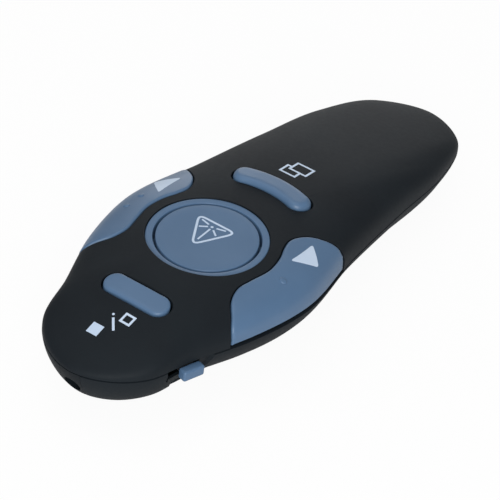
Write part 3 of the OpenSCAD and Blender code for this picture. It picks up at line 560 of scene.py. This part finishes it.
# ---- Front and curved buttons ----
# Two ABS buttons on the middle line: a straight one towards the nose, which lies almost flush, and a
# curved one behind the ring, which stands proud with well-rounded edges.
def patch(outline, place, depth, rim=0.0, steps=4, lift=0.0, grid=0.8, stroke=0.0, above=None):
    """Piece of skin over an outline, bent by place(x, y, drop) onto what it lies on, and depth thick.
    Its edge is rounded by rim, its top stands lift higher, what lies under above is cut off, and stroke
    leaves only a frame of that width."""
    bm = bmesh.new()
    drop = bm.verts.layers.float.new("drop")
    bm.faces.new([bm.verts.new((x, y, 0)) for x, y in outline])
    if above is not None:
        bmesh.ops.bisect_plane(bm, geom=bm.verts[:] + bm.edges[:] + bm.faces[:], dist=1e-5,
                               plane_co=(0, above, 0), plane_no=(0, 1, 0), clear_inner=True)
    bm.normal_update()
    inside = bm.faces[:]
    for v in bm.verts:
        v[drop] = rim - lift
    for s in range(1, steps + 1) if rim else []:
        a, b = math.pi / 2 * (s - 1) / steps, math.pi / 2 * s / steps
        width = rim * (math.cos(a) - math.cos(b))
        bmesh.ops.inset_region(bm, faces=inside, thickness=width, use_boundary=True, use_even_offset=True)
        for v in {v for f in inside for v in f.verts}:
            v[drop] = rim * (1 - math.sin(b)) - lift
    if stroke:
        bmesh.ops.inset_region(bm, faces=inside, thickness=stroke, use_boundary=True, use_even_offset=True)
        for v in bm.verts:
            v[drop] = -lift
        bmesh.ops.delete(bm, geom=inside, context="FACES_ONLY")
        inside = bm.faces[:]
    for f in inside:
        f.material_index = 1
    for axis in (0, 1):
        at = [v.co[axis] for v in bm.verts]
        side = Vector((1 - axis, axis, 0))
        for i in range(1, int((max(at) - min(at)) / grid) + 1):
            geom = {g for f in bm.faces if f.material_index == 1 for g in [f, *f.edges, *f.verts]}
            bmesh.ops.bisect_plane(bm, geom=list(geom), dist=1e-5, plane_co=side * (min(at) + i * grid),
                                   plane_no=side)
    under = bm.verts[:]
    bmesh.ops.extrude_face_region(bm, geom=bm.faces[:], use_keep_orig=True)
    for v in under:
        v[drop] = depth
    for v in bm.verts:
        v.co = place(v.co.x, v.co.y, v[drop])
    return solid(bm)


def crowned(y0, z0, tilt, r):
    """Places points under a top that is round across and slopes along."""
    def place(x, y, drop):
        return (x, y, z0 + (y - y0) * math.tan(math.radians(tilt)) - x * x / (2 * r) - drop)
    return place


def stadium(cx, cy, length, width, steps=16):
    """Outline of a bar with half-round ends."""
    r, half = width / 2, (length - width) / 2
    return [(cx + s * half + r * math.cos(a), cy + r * math.sin(a)) for s, start in ((1, -90), (-1, 90))
            for a in [math.radians(start + 180 * i / steps) for i in range(steps + 1)]]


def curved_plan(r0, r1, angle, c, steps=8, sweep=24):
    """Part of a ring behind the laser button, between two radii and angle either way, with round
    corners of radius c."""
    turn0, turn1 = math.degrees(c / (r0 + c)), math.degrees(c / (r1 - c))
    plan = []
    for s in (1, -1):
        mid = (90 + angle - turn0, 90 + angle - turn1) if s < 0 else (90 - angle + turn0, 90 - angle + turn1)
        for r, m, start in ((r0 + c, mid[0], -180), (r1 - c, mid[1], -90)):
            cx, cy = r * math.cos(math.radians(m)), r * math.sin(math.radians(m))
            corner = [(cx + c * math.cos(math.radians(m + s * b)), cy + c * math.sin(math.radians(m + s * b)))
                      for b in [start + 90 * i / steps for i in range(steps + 1)]]
            plan.append(corner)
    near0, near1, far0, far1 = plan
    outer = [(r1 * math.cos(math.radians(b)), r1 * math.sin(math.radians(b)))
             for b in [90 - angle + turn1 + (2 * angle - 2 * turn1) * i / sweep for i in range(1, sweep)]]
    inner = [(r0 * math.cos(math.radians(b)), r0 * math.sin(math.radians(b)))
             for b in [90 + angle - turn0 - (2 * angle - 2 * turn0) * i / sweep for i in range(1, sweep)]]
    return near0 + near1 + outer + far1[::-1] + far0[::-1] + inner


FRONT = stadium(0, -KEY_Y, 13.2, 4.2)
CURVED = curved_plan(17.6, 22.2, 23.2, 2.1)
front = patch(FRONT, crowned(-KEY_Y, 5.8, 11.3, 93), 1.55, rim=0.4)
# The stem ends 0.35 mm over the tact switch, more than the button's travel
front = joined(front, block((-1, -KEY_Y - 1, COVER_TOP + 0.35), (1, -KEY_Y + 1, 4.8)))
hand_over("front_key", front, slate_abs, "screen_press", "slate_blue", "screen_button")
curved = patch(CURVED, crowned(KEY_Y, 8.3, -2.6, 90), 4.4, rim=1.1, steps=6)
hand_over("curved_key", curved, slate_abs, "window_press", "slate_blue", "window_button")

# ---- Page buttons ----
# Two large ABS buttons, mirrored, that wrap over the shoulders of the body nearly down to the seam.
# Each follows the dome of the top housing, and its inner edge is hollow about the laser button.
HOLLOW_EDGE_R = 13.3  # radius of the hollow inner edge


def hollow_edge(angle):
    """Point on the hollow edge, in degrees from straight out."""
    return (HOLLOW_EDGE_R * math.cos(math.radians(angle)), HOLLOW_EDGE_R * math.sin(math.radians(angle)))


WING = [(24, -16.3), (16.45, -14.5), (15, -12.9), (12.85, -10.3), (12.1, -7.4),
        hollow_edge(-19), hollow_edge(0), hollow_edge(18),
        (11.75, 6.4), (11.2, 9), (12.4, 12.2), (14.8, 14.6), (17.3, 16.2), (24, 17)]
# How far the outline lies from the middle, against the direction
REACH = sorted((math.atan2(q.y, q.x), q.length) for q in OUTLINE)
REACH = [(REACH[-1][0] - math.tau, REACH[-1][1])] + REACH + [(REACH[0][0] + math.tau, REACH[0][1])]


def between(x, table):
    """Straight-line value at x in a table of (x, value)."""
    low, high = 0, len(table) - 1
    while high - low > 1:
        mid = (low + high) // 2
        low, high = (mid, high) if table[mid][0] <= x else (low, mid)
    (a, va), (b, vb) = table[low], table[high]
    return va + (vb - va) * (x - a) / (b - a)


def share(x, y):
    """How far a plan point lies from the middle, as a share of the outline."""
    return math.hypot(x, y) / between(math.atan2(y, x), REACH)


def dome(x, y, k=None):
    """Height of the top housing over a plan point."""
    k = min(share(x, y) if k is None else k, 1)
    return seam(y) + height(TOP_RISE, y) * (1 - k ** TOP_ACROSS) ** (1 / TOP_UP)


# The page buttons stand a little proud of the dome
PROUD = 0.22
# Rough half width and height of the body at the page buttons, for laying its shoulder out flat
HIP, SHOULDER_RISE = 18.5, 7.3
CLIMB_STEPS = 400
# Distance up the shoulder from the seam, against the share of the outline
CLIMB = [(0.0, 1.0)]
for i in range(1, CLIMB_STEPS + 1):
    t0, t1 = math.pi / 2 * ((i - 1) / CLIMB_STEPS) ** 2, math.pi / 2 * (i / CLIMB_STEPS) ** 2
    (k0, f0), (k1, f1) = [(max(math.cos(t), 0) ** (2 / TOP_ACROSS), math.sin(t) ** (2 / TOP_UP))
                          for t in (t0, t1)]
    CLIMB.append((CLIMB[-1][0] + math.hypot(HIP * (k1 - k0), SHOULDER_RISE * (f1 - f0)), k1))
CLIMB_BACK = [(k, b) for b, k in reversed(CLIMB)]


def unrolled(x, y):
    """A plan point on the dome, laid out flat: along the hip, and up from the seam."""
    k = share(x, y)
    return HIP * math.atan2(y, x), between(k, CLIMB_BACK) if k < 1 else (1 - k) * HIP


def on_dome(a, b, drop=0.0):
    """Back from the flat layout onto a page button's outside, drop under its surface."""
    def point(a, b):
        turn, k = a / HIP, between(max(0.0, min(b, CLIMB[-1][0] - 0.001)), CLIMB)
        r = between(turn, REACH) * k
        x = max(-HALF_WIDTH, min(HALF_WIDTH, r * math.cos(turn)))
        y = r * math.sin(turn)
        return Vector((x, y, dome(x, y, k) + PROUD))

    near = 0.05
    along = point(a + near, b) - point(a - near, b)
    up = point(a, b + near) - point(a, max(b - near, 0.0))
    return point(a, b) - along.cross(up).normalized() * drop


def mirrored(piece):
    """A piece on the other side of the body."""
    piece.data.transform(Matrix.Scale(-1, 4, (1, 0, 0)))
    piece.data.flip_normals()
    return piece


def circle(x, y, r, sides):
    """Round outline."""
    return [(x + r * math.cos(math.tau * i / sides), y + r * math.sin(math.tau * i / sides))
            for i in range(sides)]


def tactile_dot(x, y, r=0.7, rise=0.18):
    """Low round pip on a page button."""
    return patch(circle(*unrolled(x, y), r, 24), on_dome, 0.3, rim=rise + 0.1, steps=5, lift=rise, grid=0.5)


wing_path = [tuple(q) for q in smooth_path(WING, 8)]
wing_outline = [unrolled(x, y) for x, y in wing_path]
for side, flip, dots in (("left", False, [(16.25, -0.15)]), ("right", True, [(16.6, 2.55), (16.8, -1.3)])):
    wing = patch(wing_outline, on_dome, 1.3, rim=0.4, steps=4, grid=0.7, above=0.3)
    wing = joined(wing, *[tactile_dot(x, y) for x, y in dots])
    wing = mirrored(wing) if flip else wing
    hand_over("page_key_" + side, wing, slate_abs, side + "_press", "slate_blue", side + "_page_button")

# ---- Upper housing ----
# The domed top half of the body: moulded ABS with the same soft-touch paint. Each button comes
# through its own opening, whose edge is slightly rounded.
def opening(outline, low, lip=0.15, gap=0.25):
    """Cutter for a button's opening: upright walls, then a rounded lip that follows the dome."""
    n = len(outline)
    pts = [Vector(q) for q in outline]
    side = [(pts[(i + 1) % n] - pts[i - 1]).normalized() for i in range(n)]
    out = [Vector((t.y, -t.x)) for t in side]
    rows = []
    # Each step out and up, in shares of the lip. The first is the foot of the wall.
    steps = [(0, None), (0, 0), (0.134, 0.5), (0.5, 0.866), (1, 1.0), (1.4, 1.6)]
    lip_ends, lip_fades = 0.985, 0.06
    for d, z in steps:
        row = []
        for p, o in zip(pts, out):
            flare = lip * max(0, min(1, (lip_ends - share(*p)) / lip_fades))
            q = p + o * (gap + d * flare)
            top = dome(q.x, q.y, min(share(q.x, q.y), 0.999)) + 0.02
            row.append((q.x, q.y, low if z is None else top - flare * (1 - z) + (3 if z > 1 else 0)))
        rows.append(row)
    return loft(rows)


def counter_clockwise(outline):
    """The outline, turned round if it runs clockwise."""
    area = sum(a[0] * b[1] - b[0] * a[1] for a, b in zip(outline, outline[1:] + outline[:1]))
    return outline if area > 0 else outline[::-1]


CASE_POST_R, BOARD_POST_R, POST_REACH = 2.3, 1.6, 30
OPENING_FOOT = -10
case_posts = [rod((x, y, -POST_REACH), (x, y, POST_REACH), CASE_POST_R) for x, y, z in CASE_SCREWS]
board_posts = [rod((x, y, BOARD_TOP), (x, y, POST_REACH), BOARD_POST_R) for x, y in BOARD_SCREWS]
posts = carve(case_posts[0], "UNION", *case_posts[1:], *board_posts)
cavity = carve(loft(half_body(1, inset=WALL, lip=-1)), "DIFFERENCE", posts)
# The ring leans, so its round opening is a little shorter along the body than across
ring_hole = [(10.9 * math.cos(a), 10.88 * math.sin(a) - RING_FORWARD)
             for a in [math.tau * i / 128 for i in range(128)]]
upper = carve(loft(half_body(1, groove=GROOVE)), "DIFFERENCE", cavity,
              opening(ring_hole, OPENING_FOOT, gap=0),
              opening(counter_clockwise(FRONT), OPENING_FOOT, gap=0.35),
              opening(counter_clockwise(CURVED), OPENING_FOOT, gap=0.35),
              opening(counter_clockwise(wing_path), OPENING_FOOT),
              opening(counter_clockwise([(-x, y) for x, y in wing_path]), OPENING_FOOT))
hand_over("upper_housing", upper, soft_touch, "housing", "soft_black", "top_shell")

# ---- Printed marks ----
# Pad-printed symbols in pale blue-white ink: a burst in a triangle for the laser, an arrow on each
# page button, two windows, and a filled and an empty screen. Each is a film 0.02 mm proud.

# Matt ink: an even, slightly chalky pale tone
ink = finish_of("pad_printed_pale_ink", ("#b9cbe1", "#c2d2e6"), 0.3, 0.002, (0.4, 0.5), IOR=1.45)


def on_disc(x, y, drop):
    """Places points on the laser button, which is dished very slightly."""
    return RING_TILT @ Vector((x, y + RING_FORWARD, -drop - DISH + 0.001 * (x * x + y * y)))


def on_top(x, y, drop):
    """Places points on the dome of the top housing."""
    return (x, y, dome(x, y) - drop)


def bar(a, b, w):
    """Thin straight stroke between two points."""
    a, b = Vector(a), Vector(b)
    s = (b - a).normalized() * w / 2
    s = Vector((-s.y, s.x))
    return [tuple(q) for q in (a + s, a - s, b - s, b + s)]


def rounded_corners(points, r, steps=5):
    """Closed outline whose corners are rounded off over the length r."""
    out = []
    for i, p in enumerate(points):
        p, a, b = Vector(p), Vector(points[i - 1]), Vector(points[(i + 1) % len(points)])
        start, end = p + (a - p).normalized() * r, p + (b - p).normalized() * r
        for j in range(steps + 1):
            t = j / steps
            out.append(tuple(start * (1 - t) ** 2 + p * 2 * t * (1 - t) + end * t * t))
    return out


FILM_DEPTH, FILM_LIFT = 0.04, 0.02


def mark(name, body, place, *shapes):
    """One printed mark made of several films, each an outline and the width of its frame, or 0 if full."""
    made = [patch(counter_clockwise(outline), place, FILM_DEPTH, lift=FILM_LIFT, grid=1.0, stroke=stroke)
            for outline, stroke in shapes]
    return hand_over(name, joined(*made), ink, body, "slate_blue")


mark("laser_symbol", "laser_press", on_disc,
     (rounded_corners([(-5.25, 4.2), (3.45, 4.2), (-0.98, -3.7)], 2.0, 8), 0.42),
     *[(bar(a, b, 0.33), 0) for a, b in [((-3.71, 3.34), (-1.98, 2.95)), ((-3.04, 1.44), (-1.75, 2.4)),
                                         ((-1.05, -1.5), (-1.05, 2.1)), ((0.81, 1.2), (-0.45, 2.2)),
                                         ((1.4, 3.4), (-0.3, 2.92))]],
     (circle(-1.12, 2.74, 0.27, 12), 0))
mark("window_symbol", "housing", on_top,
     ([(-1.85, 26.84), (2.06, 26.84), (2.06, 30.02), (-1.85, 30.02)], 0.42),
     (bar((-2.54, 25.06), (-2.54, 28.07), 0.42), 0), (bar((-2.33, 25.27), (0.82, 25.27), 0.42), 0),
     (bar((0.61, 25.48), (0.61, 26.84), 0.42), 0), (bar((-2.33, 27.86), (-1.85, 27.86), 0.42), 0))
mark("screen_symbols", "housing", on_top,
     ([(-2.1, -30.5), (0.08, -30.5), (0.08, -28.35), (-2.1, -28.35)], 0),
     ([(1.22, -26.1), (3.4, -26.1), (3.4, -24.0), (1.22, -24.0)], 0.4),
     (bar((1.75, -28.1), (0.04, -26.05), 0.42), 0),
     (circle(-0.4, -25.46, 0.23, 12), 0))
arrow = [unrolled(*p) for p in rounded_corners([(14.35, 11.45), (14.35, 4.6), (18.05, 8.2)], 0.7)]
mark("arrow_left", "left_press", on_dome, (arrow, 0))
mark("arrow_right", "right_press", lambda x, y, d: on_dome(x, y, d) * Vector((-1, 1, 1)), (arrow, 0))

# ---- Case screws ----
# Four nickel-plated screws, driven up from the belly, hold the lower housing to the upper one.
hand_over("case_fasteners", joined(*[screw(*place, 6.5) for place in CASE_SCREWS]), nickel, "housing",
          "nickel_plate", "case_screws")

# ---- Cells ----
# Two AAA cells side by side, turned opposite ways: steel cans in a shrunk plastic sleeve, whose edge
# is rolled over the shoulder of the can.
BAND_STARTS = 0.78    # share of the cell's length


def sleeve_of(name, start, end):
    """Glossy printed sleeve with a copper band at its positive end, from start to end along Y in mm."""
    mat = finish_of(name, ("#35597f", "#3a5f86"), 0.6, 0.002, (0.18, 0.28), 9.0, IOR=1.5, Coat_Weight=0.4)
    tree = mat.node_tree
    place = node(tree, "ShaderNodeTexCoord").outputs["Object"]
    y = node(tree, "ShaderNodeSeparateXYZ", {"Vector": place}).outputs["Y"]
    low, high = (start - MIDDLE) / 1000, (end - MIDDLE) / 1000
    along = node(tree, "ShaderNodeMapRange", {"Value": y, "From Min": low, "From Max": high})
    band = node(tree, "ShaderNodeMath", {0: along.outputs["Result"], 1: BAND_STARTS},
                operation="GREATER_THAN")
    band = band.outputs["Value"]
    shader = tree.nodes["Principled BSDF"]
    body = shader.inputs["Base Color"].links[0].from_socket
    mixed = node(tree, "ShaderNodeMix", {0: band, 6: body, 7: linear("#a9784a")}, data_type="RGBA")
    tree.links.new(mixed.outputs[2], shader.inputs["Base Color"])
    return mat


CELL_LENGTH = 44.5
for name, cad, x, start, turn in (("cell_switch_side", "left_cell", CELL_X, 7.3, 1),
                                  ("cell_far_side", "right_cell", -CELL_X, 48.4, -1)):
    along = Matrix.Translation((x, start, CELL_Z)) @ Matrix.Rotation(math.radians(-90 * turn), 4, "X")
    sleeve = turned([(3.95, 0.25), (3.95, 0.2)] + arc(4.6, 0.85, 0.65, 270, 360)
                    + arc(4.5, 42.55, 0.75, 0, 90)
                    + [(3.3, 43.3), (3.3, 43.0), (3.0, 43.0), (3.0, 42.6), (0, 42.6), (0, 0.25)], 96)
    sleeve.data.transform(along)
    printed_pvc = sleeve_of(name + "_printed_pvc", start, start + CELL_LENGTH * turn)
    hand_over(name + "_sleeve", sleeve, printed_pvc, "housing", "cell_sleeve", cad)
    ends = joined(turned([(0, 0), (3.7, 0), (3.9, 0.12), (3.9, 0.25), (0, 0.25)], 64),
                  turned([(0, 42.6), (2.9, 42.6), (2.9, 42.85), (2.0, 42.9), (1.9, 43.0), (1.9, 44.3),
                          (1.7, CELL_LENGTH), (0, CELL_LENGTH)], 64))
    ends.data.transform(along)
    hand_over(name + "_steel_ends", ends, nickel, "housing", "nickel_plate")

# ---- Battery door ----
# Moulded ABS cover in the belly's own curve, painted like the housings. A tab hooks under the front of
# the bay, a tongue snaps in at the back, and five grip grooves run across its back end.
DOOR_HALF, DOOR_FRONT, DOOR_BACK, DOOR_WALL = 10.8, 3.8, 51.9, 1.3
GRIP_Z = -BELLY - 0.45
door = carve(loft(half_body(-1)), "INTERSECT",
             prism(rounded_plan((-DOOR_HALF, DOOR_FRONT), (DOOR_HALF, DOOR_BACK), 1.0), -FAR, FAR))
carve(door, "DIFFERENCE", loft(half_body(-1, inset=DOOR_WALL, lip=1)),
      *[rod((x, BAY_FRONT, CELL_Z), (x, BAY_BACK, CELL_Z), 5.55, sides=96) for x in (-CELL_X, CELL_X)],
      *[rod((-5.5, y, GRIP_Z), (5.5, y, GRIP_Z), 0.75, sides=48) for y in (40, 42, 44, 46, 48)])
carve(door, "UNION", block((-2.5, 2.6, -10.0), (2.5, 4.7, -9.1), 0.1, 2),
      block((-2.5, DOOR_FRONT, -10.3), (2.5, 4.8, -9.1), 0.1, 2),
      block((-2.5, 50.9, -10.3), (2.5, DOOR_BACK, -8.9), 0.1, 2))
hand_over("battery_cover", door, soft_touch, "door", "soft_black", "battery_door")

# ---- Receiver ----
# Stored in its own bay in front of the door: a black ABS case with finger grooves, a folded
# nickel-plated plug shell with square windows, a tongue of natural nylon and four gold contacts.
case = carve(block((-7.2, -4.4, -10.9), (7.2, 1.8, -5.5), 0.7, 4), "DIFFERENCE",
             *[rod((-5, y, -11.25), (5, y, -11.25), 0.6, sides=32) for y in (-2.6, -1.3, 0.0)])
hand_over("receiver_body", case, moulded_black, "receiver", "panel_black", "receiver_case")
shell = carve(block((-6, -16.7, -10.45), (6, -4.4, -5.95), 0.28, 3), "DIFFERENCE",
              block((-5.7, -17, -10.15), (5.7, -4.2, -6.25)),
              *[block((x - 1.1, -11.9, -11), (x + 1.1, -9.6, -5)) for x in (-2.6, 2.6)])
hand_over("receiver_plug_shell", shell, nickel, "receiver", "nickel_plate", "receiver_plug")
tongue = block((-5.7, -16.2, -10.15), (5.7, -4.4, -8.35), 0.12, 2)
hand_over("receiver_plug_tongue", tongue, cream_nylon, "receiver", "cream_nylon", "receiver_tongue")
dress(gold, "receiver_contacts")

# ---- Light, floor and camera ----
# A pale floor that fades into white, a wide soft lamp overhead, the strongest in front on the power
# switch's side, and a weak one behind. The camera looks over the nose from the switch's side too.
floor_mesh = bmesh.new()
FLOOR_HALF, FLOOR_GAP = 3000, 0.05
bmesh.ops.create_grid(floor_mesh, x_segments=4, y_segments=4, size=FLOOR_HALF)
bmesh.ops.translate(floor_mesh, verts=floor_mesh.verts, vec=(0, 0, -BELLY - FLOOR_GAP))
floor = solid(floor_mesh)
floor.name = floor.data.name = "floor"
floor.data.transform(TO_FRAME)
paper = bpy.data.materials.new("pale_paper_floor")
paper.use_nodes = True
tree = paper.node_tree
tree.nodes.clear()
seen = node(tree, "ShaderNodeLightPath").outputs["Is Camera Ray"]
pale = node(tree, "ShaderNodeBsdfDiffuse", {"Color": linear("#f4f4f4")}).outputs["BSDF"]
white = node(tree, "ShaderNodeEmission", {"Color": (1, 1, 1, 1), "Strength": 1.0}).outputs["Emission"]
# The rest of the floor's tone is lit paper, so that the object's shadow stays
white_share = 0.94
amount = node(tree, "ShaderNodeMath", {0: seen, 1: white_share}, operation="MULTIPLY").outputs["Value"]
mixed = node(tree, "ShaderNodeMixShader", {0: amount, 1: pale, 2: white}).outputs["Shader"]
node(tree, "ShaderNodeOutputMaterial", {"Surface": mixed})
floor.data.materials.append(paper)

world = bpy.data.worlds.new("white_room")
bpy.context.scene.world = world
world.use_nodes = True
tree = world.node_tree
tree.nodes.clear()
seen = node(tree, "ShaderNodeLightPath").outputs["Is Camera Ray"]
room_light = 0.35
level = node(tree, "ShaderNodeMapRange", {"Value": seen, "To Min": room_light, "To Max": 1.0})
sky = node(tree, "ShaderNodeBackground", {"Color": (1, 1, 1, 1), "Strength": level.outputs["Result"]})
node(tree, "ShaderNodeOutputWorld", {"Surface": sky.outputs["Background"]})

# Each lamp's place and size in metres, and its power in watts
LAMPS = [("soft_box_top", (-0.2, 0.0, 0.9), 0.8, 2.0),
         ("soft_box_side", (0.4, -0.65, 0.4), 0.5, 6.0),
         ("soft_box_back", (-0.5, 0.78, 0.27), 0.5, 1.45)]
LIT_POINT = Vector((0, 0, 0.01))
for name, at, size, power in LAMPS:
    lamp = bpy.data.lights.new(name, "AREA")
    lamp.shape, lamp.size, lamp.energy = "SQUARE", size, power
    holder = bpy.data.objects.new(name, lamp)
    holder.location = at
    holder.rotation_euler = (LIT_POINT - Vector(at)).to_track_quat("-Z", "Y").to_euler()
    bpy.context.scene.collection.objects.link(holder)

AZIMUTH, ELEVATION, ROLL = [math.radians(v) for v in (31.341, 36.209, 7.657)]
AIM = Vector((1.757, -7.328, 10.0))     # what the camera looks at, in millimetres
DISTANCE = 0.444089                     # from there, in metres
FOCAL_PIXELS, FRAME_PIXELS, SENSOR = 2501.762, 500, 36.0
back = Vector((math.sin(AZIMUTH) * math.cos(ELEVATION), -math.cos(AZIMUTH) * math.cos(ELEVATION),
               math.sin(ELEVATION)))
right = Vector((math.cos(AZIMUTH), math.sin(AZIMUTH), 0))
up = back.cross(right)
across = math.cos(ROLL) * right + math.sin(ROLL) * up
upwards = -math.sin(ROLL) * right + math.cos(ROLL) * up
optics = bpy.data.cameras.new("camera")
optics.sensor_width, optics.lens = SENSOR, FOCAL_PIXELS / FRAME_PIXELS * SENSOR
optics.clip_start, optics.clip_end = 0.01, 20
camera = bpy.data.objects.new("camera", optics)
facing = Matrix((across, upwards, back)).transposed().to_4x4()
camera.matrix_world = Matrix.Translation(AIM / 1000 + back * DISTANCE) @ facing
bpy.context.scene.collection.objects.link(camera)
bpy.context.scene.camera = camera
bpy.context.scene.view_settings.view_transform = "Standard"
